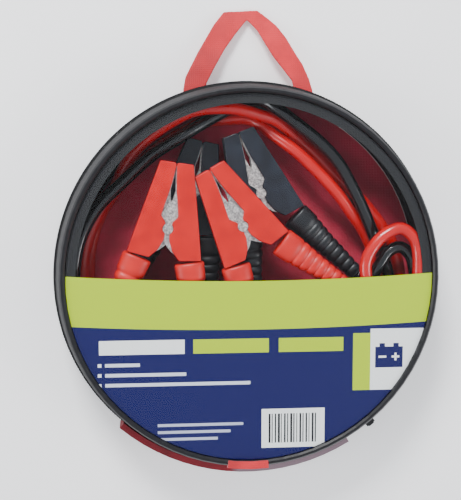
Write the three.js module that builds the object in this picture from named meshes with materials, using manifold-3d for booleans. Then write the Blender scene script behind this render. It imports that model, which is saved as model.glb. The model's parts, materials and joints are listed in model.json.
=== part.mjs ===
// Jumper cable set in a round zipped case, lying on its back.
// Millimetres. X to the right, Y towards the carry handle, Z up out of the clear front.
// The origin is the centre of the underside of the back panel.
import * as THREE from "three";
import { mergeVertices } from "three/addons/utils/BufferGeometryUtils.js";
import Module from "manifold-3d";

const wasm = await Module();
wasm.setup();

// Sizes of the case
const SEGMENTS = 72;
const GAP = 0.3;
const CASE_HEIGHT = 52;
const PARTING_Z = CASE_HEIGHT / 2;
const BEAD_RADIUS = 2;
const BEAD_CIRCLE = 130.5;
const PANEL_THICKNESS = 1.5;
const WALL_THICKNESS = 1.2;
const WALL_TOP_Z = 18;
const WALL_END_STEP = 1.9;
const WALL_BULGE = 3.6;
const TAPE_STEP = 0.6;
const ZIP_END_GAP = 1;
const TEETH_DEPTH = 1.3;
const TEETH_HEIGHT = 1.35;
const TEETH_HALF_GAP = 0.15;
const WINDOW_THICKNESS = 0.6;
const BORDER_WIDTH = 6.7;
const BORDER_THICKNESS = 0.4;
const CARD_THICKNESS = 0.5;
const CARD_EDGE_Y = -1.1;
const CARD_EDGE_RISE = 4.5;

// Hinge and zip, as angles in degrees from X towards Y
const HINGE_FROM = 229;
const HINGE_TO = 301;
const HINGE_FABRIC_DEPTH = 4.6;
const HINGE_FABRIC_HEIGHT = 9.6;
const ZIP_FROM = HINGE_TO + ZIP_END_GAP;
const ZIP_TO = HINGE_FROM + 360 - ZIP_END_GAP;
const SLIDER_ANGLE = 309.5;
const SLIDER_WIDTH = 7;
const SLIDER_DEPTH = 4.2;
const SLIDER_HEIGHT = 8;
const TAB_LENGTH = 12;
const TAB_THICKNESS = 1.2;
const TAB_WIDTH = 4.5;
const JOINT_COVER_FROM = 262.5;
const JOINT_COVER_TO = 275;

// Sizes of the handle webbing
const HANDLE_THICKNESS = 2;
const HANDLE_BASE_Z = 13;
const HANDLE_TOP_Z = 1;
const HANDLE_BASE_Y = 131;
const HANDLE_TOP_Y = 191;

// Sizes of one clamp, with its pivot at the origin and its jaws towards Y
const JAW_LENGTH = 46;
const COVER_THICKNESS = 13;
const COVER_SKIN = 1.6;
const COVER_BACK = 1.8;
const STEEL = 1.3;
const RIVET_RADIUS = 2;
const RIVET_CLEARANCE = 0.2;
const RIVET_HEAD_RADIUS = 3.5;
const RIVET_HEAD_HEIGHT = 1.1;
const SPRING_RADIUS = 4.2;
const GRIP_LENGTH = 62;
const GRIP_COLLAR = 13;
const GRIP_WIDTH = 21;
const GRIP_THICKNESS = 15;
const GRIP_END_RADIUS = 5.8;
const GRIP_SIDES = 16;

// Sizes of the cables
const CABLE_RADIUS = 4.4;
const CABLE_SIDES = 10;
const CABLE_STEPS = 170;

const model = new THREE.Group();

function degrees(angle) {
  return (angle * Math.PI) / 180;
}

// One closed surface with its faces turned outwards.
function closed(geometry) {
  const plain = geometry.clone();
  plain.deleteAttribute("normal");
  plain.deleteAttribute("uv");
  const merged = mergeVertices(plain, 1e-3);
  const index = merged.index.array;
  const kept = [];
  for (let i = 0; i < index.length; i += 3) {
    const [a, b, c] = [index[i], index[i + 1], index[i + 2]];
    if (a !== b && b !== c && c !== a) kept.push(a, b, c);
  }
  const at = (i) => new THREE.Vector3().fromBufferAttribute(merged.attributes.position, i);
  let volume = 0;
  for (let i = 0; i < kept.length; i += 3) {
    volume += at(kept[i]).dot(at(kept[i + 1]).cross(at(kept[i + 2])));
  }
  if (volume < 0) kept.reverse();
  merged.setIndex(kept);
  return merged;
}

function toSolid(geometry) {
  const merged = closed(geometry);
  return new wasm.Manifold(
    new wasm.Mesh({
      numProp: 3,
      vertProperties: new Float32Array(merged.attributes.position.array),
      triVerts: new Uint32Array(merged.index.array),
    }),
  );
}

function toGeometry(solid) {
  const mesh = solid.getMesh();
  const geometry = new THREE.BufferGeometry();
  geometry.setAttribute("position", new THREE.BufferAttribute(mesh.vertProperties, 3));
  geometry.setIndex(new THREE.BufferAttribute(mesh.triVerts, 1));
  return geometry;
}

function join(...geometries) {
  const solids = geometries.map(toSolid);
  return toGeometry(solids.slice(1).reduce((sum, next) => sum.add(next), solids[0]));
}

function cut(geometry, ...tools) {
  return toGeometry(tools.map(toSolid).reduce((rest, tool) => rest.subtract(tool), toSolid(geometry)));
}

function put(name, geometry, colour) {
  const mesh = new THREE.Mesh(closed(geometry), new THREE.MeshStandardMaterial({ color: colour }));
  mesh.name = name;
  model.add(mesh);
  return mesh;
}

function polygon(points) {
  return new THREE.Shape(points.map(([x, y]) => new THREE.Vector2(x, y)));
}

function circle(radius, sides) {
  const points = [];
  for (let i = 0; i < sides; i++) {
    const t = (2 * Math.PI * i) / sides;
    points.push([radius * Math.cos(t), radius * Math.sin(t)]);
  }
  return points;
}

// A flat outline extruded from one height to another.
function slab(shape, z0, z1) {
  const geometry = new THREE.ExtrudeGeometry(shape, { depth: z1 - z0, bevelEnabled: false, curveSegments: 8 });
  return geometry.translate(0, 0, z0);
}

// A closed profile of [radius, height] points turned round the Z axis.
function turned(profile) {
  const loop = [...profile, profile[0]].map(([r, z]) => new THREE.Vector2(r, z));
  return new THREE.LatheGeometry(loop, SEGMENTS).rotateX(Math.PI / 2);
}

// A disc or other solid whose profile starts and ends on the Z axis.
function turnedSolid(profile, segments = SEGMENTS) {
  const points = profile.map(([r, z]) => new THREE.Vector2(r, z));
  return new THREE.LatheGeometry(points, segments).rotateX(Math.PI / 2);
}

// Part of a ring between two angles.
function sector(inner, outer, from, to, z0, z1, steps) {
  const points = [];
  for (let i = 0; i <= steps; i++) {
    const t = degrees(from + ((to - from) * i) / steps);
    points.push([outer * Math.cos(t), outer * Math.sin(t)]);
  }
  for (let i = steps; i >= 0; i--) {
    const t = degrees(from + ((to - from) * i) / steps);
    points.push([inner * Math.cos(t), inner * Math.sin(t)]);
  }
  return slab(polygon(points), z0, z1);
}

// The front half of the case is the back half turned over about the parting plane.
function mirrored(profile) {
  return profile.map(([r, z]) => [r, CASE_HEIGHT - z]);
}

// Case, back half: every radius follows from the circle of the piping
const wallEnd = BEAD_CIRCLE + WALL_END_STEP;
const wallWaist = wallEnd + WALL_BULGE;
const tapeRadius = wallWaist + TAPE_STEP;
const panelRadius = BEAD_CIRCLE - BEAD_RADIUS - 0.2;
put(
  "back_panel",
  turnedSolid([
    [0, 0],
    [panelRadius, 0],
    [panelRadius, PANEL_THICKNESS],
    [0, PANEL_THICKNESS],
  ]),
  0x8a2a40,
);

const beadProfile = [];
for (let i = 0; i < 8; i++) {
  const t = degrees(22.5 + i * 45);
  const r = BEAD_RADIUS / Math.cos(degrees(22.5));
  beadProfile.push([BEAD_CIRCLE + r * Math.cos(t), BEAD_RADIUS + r * Math.sin(t)]);
}
put("back_piping", turned(beadProfile), 0x1c1c22);
put("piping_bead", turned(mirrored(beadProfile)), 0x1c1c22);

const wallFoot = 2 * BEAD_RADIUS + GAP;
const wallProfile = [
  [wallEnd - WALL_THICKNESS, wallFoot],
  [wallEnd, wallFoot],
  [wallWaist, WALL_TOP_Z],
  [wallWaist - WALL_THICKNESS, WALL_TOP_Z],
];
put("back_wall", turned(wallProfile), 0x16161b);
put("front_wall", turned(mirrored(wallProfile)), 0x16161b);

const tapeProfile = [
  [tapeRadius - WALL_THICKNESS, WALL_TOP_Z + GAP],
  [tapeRadius, WALL_TOP_Z + GAP],
  [tapeRadius, PARTING_Z - GAP],
  [tapeRadius - WALL_THICKNESS, PARTING_Z - GAP],
];
put("zip_tape_lower", turned(tapeProfile), 0x1a1a1f);
put("zip_tape_upper", turned(mirrored(tapeProfile)), 0x1a1a1f);

const teethInner = tapeRadius + GAP;
const teethOuter = teethInner + TEETH_DEPTH;
const teethLow = PARTING_Z - TEETH_HALF_GAP - TEETH_HEIGHT;
const teethHigh = PARTING_Z + TEETH_HALF_GAP;
put(
  "zip_teeth_lower",
  sector(teethInner, teethOuter, ZIP_FROM, ZIP_TO, teethLow, teethLow + TEETH_HEIGHT, 54),
  0x111114,
);
put(
  "zip_teeth_upper",
  sector(teethInner, teethOuter, ZIP_FROM, ZIP_TO, teethHigh, teethHigh + TEETH_HEIGHT, 54),
  0x111114,
);

// Case, front half
const windowTop = CASE_HEIGHT - BEAD_RADIUS;
const windowLow = windowTop - WINDOW_THICKNESS;
const frontRadius = BEAD_CIRCLE - BEAD_RADIUS - GAP;
put(
  "window",
  turnedSolid([
    [0, windowLow],
    [frontRadius, windowLow],
    [frontRadius, windowTop],
    [0, windowTop],
  ]),
  0xdfe6ea,
);
// The printed card fills the lower half; its upper edge rises a little at both sides.
const cardOutline = [];
const cardSide = Math.atan2(CARD_EDGE_Y + CARD_EDGE_RISE, frontRadius);
for (let i = 0; i <= 36; i++) {
  const t = Math.PI - cardSide + ((Math.PI + 2 * cardSide) * i) / 36;
  cardOutline.push([frontRadius * Math.cos(t), frontRadius * Math.sin(t)]);
}
for (let i = 7; i >= -7; i--) {
  const x = (i * frontRadius) / 8;
  cardOutline.push([x, CARD_EDGE_Y + CARD_EDGE_RISE * (i / 8) ** 2]);
}
const cardTop = windowLow - GAP;
const cardLow = cardTop - CARD_THICKNESS;
put("insert_card", slab(polygon(cardOutline), cardLow, cardTop), 0x2e2f7a);

// A dark border lies under the rim of the window and the card.
const borderTop = cardLow - GAP + 0.05;
put(
  "window_border",
  turned([
    [frontRadius - BORDER_WIDTH, borderTop - BORDER_THICKNESS],
    [frontRadius, borderTop - BORDER_THICKNESS],
    [frontRadius, borderTop],
    [frontRadius - BORDER_WIDTH, borderTop],
  ]),
  0x141418,
);

// Hinge fabric on both sides of the parting plane, behind the end of the zip
const fabricInner = tapeRadius + GAP;
const fabricOuter = fabricInner + HINGE_FABRIC_DEPTH;
const fabricTop = PARTING_Z - 0.2;
put(
  "hinge_fabric_back",
  sector(fabricInner, fabricOuter, HINGE_FROM, HINGE_TO, fabricTop - HINGE_FABRIC_HEIGHT, fabricTop, 17),
  0x8c2030,
);
put(
  "hinge_fabric_front",
  sector(
    fabricInner,
    fabricOuter,
    HINGE_FROM,
    HINGE_TO,
    CASE_HEIGHT - fabricTop,
    CASE_HEIGHT - fabricTop + HINGE_FABRIC_HEIGHT,
    17,
  ),
  0x8c2030,
);

// The wrap over the joint of the piping is a channel over the bead.
const coverGap = BEAD_RADIUS + GAP;
const beadHeight = CASE_HEIGHT - BEAD_RADIUS;
const coverShape = [
  [BEAD_CIRCLE + coverGap, beadHeight - 1],
  [BEAD_CIRCLE + coverGap + 1, beadHeight - 1],
  [BEAD_CIRCLE + coverGap + 1, beadHeight + coverGap + 0.8],
  [BEAD_CIRCLE - 2, beadHeight + coverGap + 0.8],
  [BEAD_CIRCLE - 2, beadHeight + coverGap],
  [BEAD_CIRCLE + coverGap, beadHeight + coverGap],
];
const coverSector = sector(
  BEAD_CIRCLE - 20,
  BEAD_CIRCLE + 20,
  JOINT_COVER_FROM,
  JOINT_COVER_TO,
  beadHeight - 5,
  beadHeight + 10,
  4,
);
put(
  "piping_joint_cover",
  toGeometry(toSolid(turned(coverShape)).intersect(toSolid(coverSector))),
  0xd21f2c,
);

// Zip slider and its pull tab, built at the X axis and turned to their place
const sliderInner = teethOuter + GAP;
const sliderOuter = sliderInner + SLIDER_DEPTH;
function box(x0, x1, y0, y1, z0, z1) {
  return new THREE.BoxGeometry(x1 - x0, y1 - y0, z1 - z0).translate((x0 + x1) / 2, (y0 + y1) / 2, (z0 + z1) / 2);
}
const sliderBody = box(
  sliderInner,
  sliderOuter,
  -SLIDER_WIDTH / 2,
  SLIDER_WIDTH / 2,
  PARTING_Z - SLIDER_HEIGHT / 2,
  PARTING_Z + SLIDER_HEIGHT / 2,
);
put("zip_slider", sliderBody.rotateZ(degrees(SLIDER_ANGLE)), 0x202026);
const tabTop = PARTING_Z + 2;
const pullTab = box(
  sliderOuter + GAP,
  sliderOuter + GAP + TAB_THICKNESS,
  -TAB_WIDTH / 2,
  TAB_WIDTH / 2,
  tabTop - TAB_LENGTH,
  tabTop,
);
put("zip_pull_tab", pullTab.rotateZ(degrees(SLIDER_ANGLE)), 0x26262c);

// Carry handle: a folded loop of webbing that leans back to the floor from the back wall
const handleOutline = [
  [-45.9, 124],
  [-45.6, 133],
  [-43.9, 142],
  [-34.7, 160],
  [-23, 180],
  [-15.5, 189.5],
  [9, HANDLE_TOP_Y],
  [16.3, 185.6],
  [22.8, 180],
  [29.4, 171.5],
  [36.6, 159],
  [41.1, 152],
  [45.7, 141.4],
  [48, 133],
  [49.5, 122],
  [33, 122],
  [35, 131],
  [33, 140],
  [27, 148],
  [20, 157],
  [14.5, 166],
  [8.7, 176],
  [1.2, 184],
  [-7.3, 173.4],
  [-15.2, 162.4],
  [-23, 148.6],
  [-28.9, 137.4],
  [-29.5, 124],
];
const handle = slab(polygon(handleOutline), 0, HANDLE_THICKNESS);
const handlePositions = handle.attributes.position;
for (let i = 0; i < handlePositions.count; i++) {
  const along = (handlePositions.getY(i) - HANDLE_BASE_Y) / (HANDLE_TOP_Y - HANDLE_BASE_Y);
  const lean = HANDLE_BASE_Z + (HANDLE_TOP_Z - HANDLE_BASE_Z) * THREE.MathUtils.clamp(along, 0, 1);
  handlePositions.setZ(i, handlePositions.getZ(i) + lean);
}
const wallTool = turnedSolid([
  [0, wallFoot - 30],
  [wallEnd + GAP - 2, wallFoot - 30],
  [wallEnd + GAP, wallFoot],
  [wallWaist + GAP, WALL_TOP_Z],
  [0, WALL_TOP_Z],
]);
put("handle_strap", cut(handle, wallTool), 0xd6202f);

// Clamp pieces in the clamp's own frame; side is 1 for the arm at positive x, -1 for the other
const coverOuterEdge = [
  [11.5, JAW_LENGTH],
  [22.2, -2],
  [25.8, -19],
];
const coverInnerEdge = [
  [10.4, -21],
  [5, -15],
  [2, -8],
  [1.4, -1.8],
  [2.7, 4.9],
  [6, 8.8],
  [4, 19],
  [2.4, JAW_LENGTH - 19.5],
  [1.4, JAW_LENGTH - 13],
  [0.3, JAW_LENGTH - 3.2],
  [0.3, JAW_LENGTH - 1],
  [1.5, JAW_LENGTH],
];
const seamCentre = [18.1, -20];

function sided(points, side) {
  return points.map(([x, y]) => [side * x, y]);
}

function jawCover(side) {
  const half = COVER_THICKNESS / 2;
  const outline = polygon(sided([...coverOuterEdge, ...coverInnerEdge], side));
  const inset = coverOuterEdge.map(([x, y]) => [x - COVER_BACK, y]).reverse();
  const back = polygon(sided([...coverOuterEdge, ...inset], side));
  const shell = join(
    slab(outline, half - COVER_SKIN, half),
    slab(outline, -half, COVER_SKIN - half),
    slab(back, -half + COVER_SKIN / 2, half - COVER_SKIN / 2),
  );
  return cut(shell, slab(polygon(circle(RIVET_HEAD_RADIUS + GAP, 16)), -half - 1, half + 1));
}

// A steel channel: two cheeks with an ear round the pivot, and a web along the outer edge.
function jawPlate(side, cheekFrom, opens) {
  const fit = COVER_BACK + GAP;
  const outer = [
    [coverOuterEdge[0][0] - fit, JAW_LENGTH - 1.5],
    [coverOuterEdge[1][0] - fit, -2],
    [coverOuterEdge[2][0] - fit - 0.6, -18],
  ];
  const inner = [
    [11.5, -19.6],
    [4.2, -15.5],
    [0.6, -12],
    [-3.2, -6],
    [-5, 2],
    [-6, 10],
    [-3, 15],
    [0.6, 20],
    [1.8, JAW_LENGTH - 19.5],
    [0.9, JAW_LENGTH - 13],
    [0.3, JAW_LENGTH - 8],
    [0.3, JAW_LENGTH - 2.5],
    [1.5, JAW_LENGTH - 1.5],
  ];
  const outline = polygon(sided([...outer, ...inner], side));
  outline.holes.push(polygon(circle(RIVET_RADIUS + RIVET_CLEARANCE, 16)));
  const web = polygon(sided([...outer, ...outer.map(([x, y]) => [x - STEEL, y]).reverse()], side));
  const cheekTo = cheekFrom + STEEL;
  const reach = cheekTo - STEEL / 2;
  const solid = join(
    slab(outline, cheekFrom, cheekTo),
    slab(outline, -cheekTo, -cheekFrom),
    slab(web, -reach, reach),
  );
  return solid;
}

function rivet() {
  const head = COVER_THICKNESS / 2 - COVER_SKIN + 0.2;
  const top = head + RIVET_HEAD_HEIGHT;
  return turnedSolid(
    [
      [0, -top],
      [RIVET_HEAD_RADIUS, -top],
      [RIVET_HEAD_RADIUS, -head],
      [RIVET_RADIUS, -head],
      [RIVET_RADIUS, head],
      [RIVET_HEAD_RADIUS, head],
      [RIVET_HEAD_RADIUS, top],
      [0, top],
    ],
    16,
  );
}

// The coil of the spring sits between the inner cheeks; one leg lies against the fixed arm.
function spring(side) {
  const coil = polygon(circle(SPRING_RADIUS, 16));
  coil.holes.push(polygon(circle(RIVET_RADIUS + GAP, 16)));
  const leg = polygon(
    sided(
      [
        [2.6, -2.6],
        [15.2, -13.6],
        [16.2, -12.4],
        [3.4, -1.2],
      ],
      side,
    ),
  );
  return join(slab(coil, -1.3, 1.3), slab(leg, -0.6, 0.6));
}

// A grip from the seam outwards: a flat oval collar that narrows to the round cable end.
function grip(side, angle) {
  const stations = [
    [0, GRIP_WIDTH / 2 - 0.6, GRIP_THICKNESS / 2 - 0.6],
    [1, GRIP_WIDTH / 2, GRIP_THICKNESS / 2],
    [GRIP_COLLAR, GRIP_WIDTH / 2 - 0.4, GRIP_THICKNESS / 2],
    [GRIP_COLLAR + 14, 8.3, 7],
    [GRIP_LENGTH, GRIP_END_RADIUS, GRIP_END_RADIUS],
  ];
  const positions = [];
  const index = [];
  stations.forEach(([along, halfWidth, halfDepth]) => {
    for (let i = 0; i < GRIP_SIDES; i++) {
      const t = (2 * Math.PI * (i + 0.5)) / GRIP_SIDES;
      positions.push(halfWidth * Math.cos(t), -along, halfDepth * Math.sin(t));
    }
  });
  const first = positions.length / 3;
  positions.push(0, 0, 0, 0, -GRIP_LENGTH, 0);
  for (let s = 0; s < stations.length - 1; s++) {
    for (let i = 0; i < GRIP_SIDES; i++) {
      const a = s * GRIP_SIDES + i;
      const b = s * GRIP_SIDES + ((i + 1) % GRIP_SIDES);
      index.push(a, b, a + GRIP_SIDES, b, b + GRIP_SIDES, a + GRIP_SIDES);
    }
  }
  const last = (stations.length - 1) * GRIP_SIDES;
  for (let i = 0; i < GRIP_SIDES; i++) {
    const j = (i + 1) % GRIP_SIDES;
    index.push(first, j, i, first + 1, last + i, last + j);
  }
  const geometry = new THREE.BufferGeometry();
  geometry.setAttribute("position", new THREE.BufferAttribute(new Float32Array(positions), 3));
  geometry.setIndex(index);
  return geometry.rotateZ(side * degrees(angle)).translate(side * seamCentre[0], gripStart(angle), 0);
}

// The grip's square end stands off the slanting seam far enough to clear it.
function gripStart(angle) {
  const [outer, inner] = [coverOuterEdge[2], coverInnerEdge[0]];
  const seamAngle = Math.atan2(outer[1] - inner[1], outer[0] - inner[0]);
  return seamCentre[1] - GAP - (Math.abs(Math.sin(degrees(angle) - seamAngle)) * GRIP_WIDTH) / 2;
}

const CLAMPS = [
  { name: "a", at: [-58, 35.4, 40.3], turn: -8.35, fixed: 1, grips: [16, 15.5], colour: 0xe0453f, hue: 0xe8301f },
  { name: "b", at: [-6, 36.8, 40.3], turn: 30.3, fixed: -1, grips: [15.5, 24.7], colour: 0xe0453f, hue: 0xe8301f },
  { name: "c", at: [-41.2, 51.5, 9.3], turn: -12.3, fixed: -1, grips: [15.5, 12.3], colour: 0x4a4e66, hue: 0x15161c },
  { name: "d", at: [8.6, 59.2, 24.8], turn: 20.8, fixed: 1, grips: [15.5, 25.9], colour: 0x4a4e66, hue: 0x15161c },
];
const outerCheek = COVER_THICKNESS / 2 - COVER_SKIN - GAP - STEEL;
const innerCheek = outerCheek - GAP - STEEL;

for (const clamp of CLAMPS) {
  const place = (geometry) => geometry.rotateZ(degrees(clamp.turn)).translate(...clamp.at);
  for (const share of ["fixed", "moving"]) {
    const side = share === "fixed" ? clamp.fixed : -clamp.fixed;
    const angle = side === -1 ? clamp.grips[0] : clamp.grips[1];
    put(`clamp_${clamp.name}_${share}_cover`, place(jawCover(side)), clamp.colour);
    put(`clamp_${clamp.name}_${share}_grip`, place(grip(side, angle)), clamp.hue);
    const cheek = share === "fixed" ? outerCheek : innerCheek;
    put(`clamp_${clamp.name}_${share}_jaw`, place(jawPlate(side, cheek)), 0xc9c6c6);
  }
  put(`clamp_${clamp.name}_rivet`, place(rivet()), 0xd8d8da);
  put(`clamp_${clamp.name}_spring`, place(spring(clamp.fixed)), 0x9a9aa0);
}

// Where a cable leaves the fixed grip of a clamp, or a point further along the same line.
function gripEnd(clamp, beyond = 0) {
  const side = clamp.fixed;
  const angle = degrees(side === -1 ? clamp.grips[0] : clamp.grips[1]);
  const reach = GRIP_LENGTH + GAP + beyond;
  const end = new THREE.Vector3(
    side * (seamCentre[0] + reach * Math.sin(angle)),
    gripStart(side === -1 ? clamp.grips[0] : clamp.grips[1]) - reach * Math.cos(angle),
    0,
  );
  end.applyAxisAngle(new THREE.Vector3(0, 0, 1), degrees(clamp.turn));
  return [end.x + clamp.at[0], end.y + clamp.at[1], clamp.at[2]];
}

// Cables: hand-chosen route points from one grip end to another, through the coil
function bend(radius, from, to, z0, z1, count, endRadius = radius) {
  const points = [];
  for (let i = 0; i < count; i++) {
    const u = i / (count - 1);
    const t = degrees(from + (to - from) * u);
    const r = radius + (endRadius - radius) * u;
    points.push([r * Math.cos(t), r * Math.sin(t), z0 + (z1 - z0) * u]);
  }
  return points;
}

function turn(x, y, radius, angle, z) {
  return [x + radius * Math.cos(degrees(angle)), y + radius * Math.sin(degrees(angle)), z];
}

const BLACK_ROUTE = [
  gripEnd(CLAMPS[2]), gripEnd(CLAMPS[2], 6), [-98.2, -34.5, 8.7], [-97.2, -41.5, 7.8], [-92.8, -49.5, 6.8],
  ...bend(105.5, 214, 318, 6.2, 6.2, 9),
  [94.5, -49, 6.2], [103, -28, 6.2], [104.5, -10, 6.2],
  [101.4, 5.9, 6.2], [95.7, 18.2, 6.2], [89.3, 33.3, 6.2], [82.2, 49, 6.2], [73.7, 64.8, 6.2],
  [63.2, 81.0, 6.2], [50.6, 94.2, 6.2], [34.8, 106.8, 6.2], [19.1, 117.4, 6.2],
  ...bend(124, 91, 179, 6.2, 6.2, 7),
  ...bend(124.3, 190, 250, 6.2, 12, 5),
  ...bend(124.3, 262, 328, 15.5, 24.8, 5),
  [110, -48, 24.8], [108.0, -30, 24.8], [105, -12, 24.8],
  [101.4, 5.9, 24.8], [95.7, 18.2, 25.2], [89.3, 33.3, 27.3], [82.2, 49, 29], [73.7, 64.8, 31],
  [63.2, 81.6, 32.5], [50.6, 94.8, 33.5], [34.8, 107.3, 33.5], [19.1, 118.9, 32],
  [9, 124.8, 27.8], [-3, 123.6, 22.3], [-15, 118.0, 20.5], [-31, 109.2, 22], [-47, 99.6, 24.8],
  [-68, 86, 24.8], [-89, 67, 24.8], [-107, 49, 24.8], [-119, 27, 24.8], [-123.7, 0, 24.8],
  ...bend(124.3, 192, 300, 26.5, 34.3, 8),
  ...bend(124.3, 315, 345, 34.3, 34.3, 3),
  [120.8, -12, 34.1],
  [119.8, 3, 34.1], [116.5, 14.5, 34.1], [109, 20.5, 34.1], [100.5, 17.5, 34.6], [94, 8, 34.6],
  [86.5, -4, 34.1],
  [76, -17, 33.4], [60, -30, 29.5], [40, -38.5, 22], [20, -42.5, 17], [0, -45, 15.5],
  [-20, -46, 15.5],
  ...[95, 135, 175, 215].map((t) => turn(-37.7, -66, 20, t, 15.5)),
  ...bend(96, 244, 298, 15.3, 6.6, 4),
  ...[325, 0, 45, 85].map((t) => turn(37.7, -66, 20, t, 6.2)),
  [10, -46, 6.2], [-15, -46, 6.2],
  ...[95, 135, 175].map((t) => turn(-37.7, -66, 20, t, 6.2)),
  [-50, -77.5, 6.2], [-34, -81.5, 6.2], [-16, -85, 6.2], [2, -86.5, 7.5], [20, -84.5, 11.5],
  [37, -79.5, 15.3],
  [56, -73, 16.3], [74, -61, 18], [87, -42, 20.5], [92.5, -24, 23.5], [90, -12, 24.8], gripEnd(CLAMPS[3], 6),
  gripEnd(CLAMPS[3]),
];

const RED_ROUTE = [
  gripEnd(CLAMPS[0]), gripEnd(CLAMPS[0], 6), [-32.8, -66, 36.6], [-30, -74, 32], [-23, -84.5, 28],
  [-8, -96, 25.0], [14, -104.3, 24.0],
  ...bend(105.3, 288, 325, 23, 16.5, 4),
  [95.5, -44, 15.5], [99.5, -20, 15.5],
  [95.6, 6.5, 15.5], [91.5, 20, 15.8], [84.9, 32.5, 18.0], [78, 41.5, 21], [65.8, 57.4, 25],
  [50.0, 73.9, 27.2], [34.2, 88.6, 27.0], [19.1, 99.9, 22.0], [3.3, 111.4, 15.2],
  [-14, 111.9, 11.6], [-31, 109.8, 9.2], [-48, 101.6, 7], [-69, 87.5, 6.2], [-90, 66, 6.2],
  [-104, 46, 6.2], [-112, 24, 6.2], [-114.5, 0, 6.2],
  ...bend(115, 190, 300, 6.2, 6.2, 9),
  ...bend(115, 312, 340, 8.5, 13.5, 3),
  [113.5, -18, 15.3],
  [113, 5, 15.5], [107.5, 23, 15.5], [98, 37.3, 15.5], [87.1, 50.8, 15.5], [75.5, 62, 16],
  [63, 73.2, 17.5], [50.8, 85.4, 18.3], [35, 99.2, 19.2], [19.8, 111.0, 23.5],
  [8.2, 114.2, 27],
  [-12, 118.7, 32], [-38, 117.3, 28.5], [-52, 111.2, 25.5], [-66, 102, 21], [-80, 89.4, 17],
  [-88.5, 77, 15.5], [-94, 64.6, 15.5], [-101, 53.2, 15.5], [-110, 36.6, 15.5],
  [-115.3, 22, 15.5], [-118, 0, 15.5],
  ...bend(116, 190, 215, 18, 24.8, 3, 115),
  ...bend(115, 228, 300, 24.8, 26, 6),
  ...bend(115, 310, 335, 29.5, 38.5, 3),
  [113.5, -30, 43],
  [119.3, -4, 43.5], [119.5, 17.8, 43.5], [116, 28, 43.4], [107, 34.6, 43.4],
  [97.6, 31.6, 43.4], [88.9, 24.1, 43.4], [82, 11, 43.4], [82.5, -6, 43.4],
  [79, -27, 43.4], [65, -50, 43.4], [46, -65, 43.4], [25, -72, 43.4], [0, -73, 43.4],
  [-30, -73, 43.4],
  ...[95, 138, 180].map((t) => turn(-53.3, -91, 18, t, 43.4)),
  ...bend(121, 245, 288, 43.4, 43.4, 4),
  [54, -103, 43.3], [69, -90, 42.3], [78, -74, 40.0], [73.5, -58.5, 36.3], [60, -51.5, 32],
  [40, -51, 27.5], [15, -51.5, 25.2], [-20, -51.5, 25], [-58, -51.8, 25.3],
  [-74, -58, 27], [-78.3, -70, 30.8], [-71, -82, 33.5],
  [-50, -93, 34.2], [-22, -102.5, 34.3], [7, -103.8, 34.3], [20, -97.5, 34.2], [25, -83, 34.2], [13.5, -69.5, 36.8],
  gripEnd(CLAMPS[1], 6), gripEnd(CLAMPS[1]),
];

function cable(points) {
  const path = new THREE.CatmullRomCurve3(points.map(([x, y, z]) => new THREE.Vector3(x, y, z)));
  path.arcLengthDivisions = 4000;
  return new THREE.ExtrudeGeometry(polygon(circle(CABLE_RADIUS, CABLE_SIDES)), {
    steps: CABLE_STEPS,
    extrudePath: path,
    bevelEnabled: false,
  });
}

put("cable_black", cable(BLACK_ROUTE), 0x14161c);
put("cable_red", cable(RED_ROUTE), 0xc80e10);

export default model;
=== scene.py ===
"""Looks for the jumper cable set in its round zipped case. Metres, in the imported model's frame."""
import json
import math

import bpy
from mathutils import Matrix, Vector

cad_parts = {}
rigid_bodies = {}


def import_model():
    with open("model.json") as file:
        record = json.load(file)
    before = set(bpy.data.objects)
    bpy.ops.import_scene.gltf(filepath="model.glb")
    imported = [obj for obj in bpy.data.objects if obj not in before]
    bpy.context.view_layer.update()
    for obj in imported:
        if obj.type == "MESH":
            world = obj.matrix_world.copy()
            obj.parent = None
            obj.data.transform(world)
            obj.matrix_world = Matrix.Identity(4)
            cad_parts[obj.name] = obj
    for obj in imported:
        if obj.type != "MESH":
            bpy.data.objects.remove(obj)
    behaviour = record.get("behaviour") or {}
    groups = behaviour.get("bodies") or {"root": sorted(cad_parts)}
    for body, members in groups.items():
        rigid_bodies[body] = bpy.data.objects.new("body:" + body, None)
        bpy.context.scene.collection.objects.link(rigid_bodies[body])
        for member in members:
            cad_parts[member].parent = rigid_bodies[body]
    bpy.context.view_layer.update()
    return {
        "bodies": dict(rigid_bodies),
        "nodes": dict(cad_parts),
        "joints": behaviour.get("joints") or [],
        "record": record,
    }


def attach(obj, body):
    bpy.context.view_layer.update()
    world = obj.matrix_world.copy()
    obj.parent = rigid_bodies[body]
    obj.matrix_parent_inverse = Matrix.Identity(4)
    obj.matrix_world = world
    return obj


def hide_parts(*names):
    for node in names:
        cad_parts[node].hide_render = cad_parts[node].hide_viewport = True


bl_info = {
    "name": "Jumper cable set",
    "version": (1, 0, 0),
    "blender": (4, 5, 0),
    "location": "View3D > Sidebar > Jumper set",
    "description": "Builds the looks of a jumper cable set in a zipped case",
    "category": "Object",
}

MM = 0.001


# Cable routes, in millimetres as in the CAD, turned into metres
def bend(radius, start, stop, z0, z1, count, end_radius=None):
    """Points along an arc about the case's axis."""
    last = radius if end_radius is None else end_radius
    points = []
    for i in range(count):
        u = i / (count - 1)
        t = math.radians(start + (stop - start) * u)
        r = radius + (last - radius) * u
        points.append((r * math.cos(t), r * math.sin(t), z0 + (z1 - z0) * u))
    return points


def turn(x, y, radius, angle, z):
    """One point of a small turn."""
    t = math.radians(angle)
    return (x + radius * math.cos(t), y + radius * math.sin(t), z)


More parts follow.
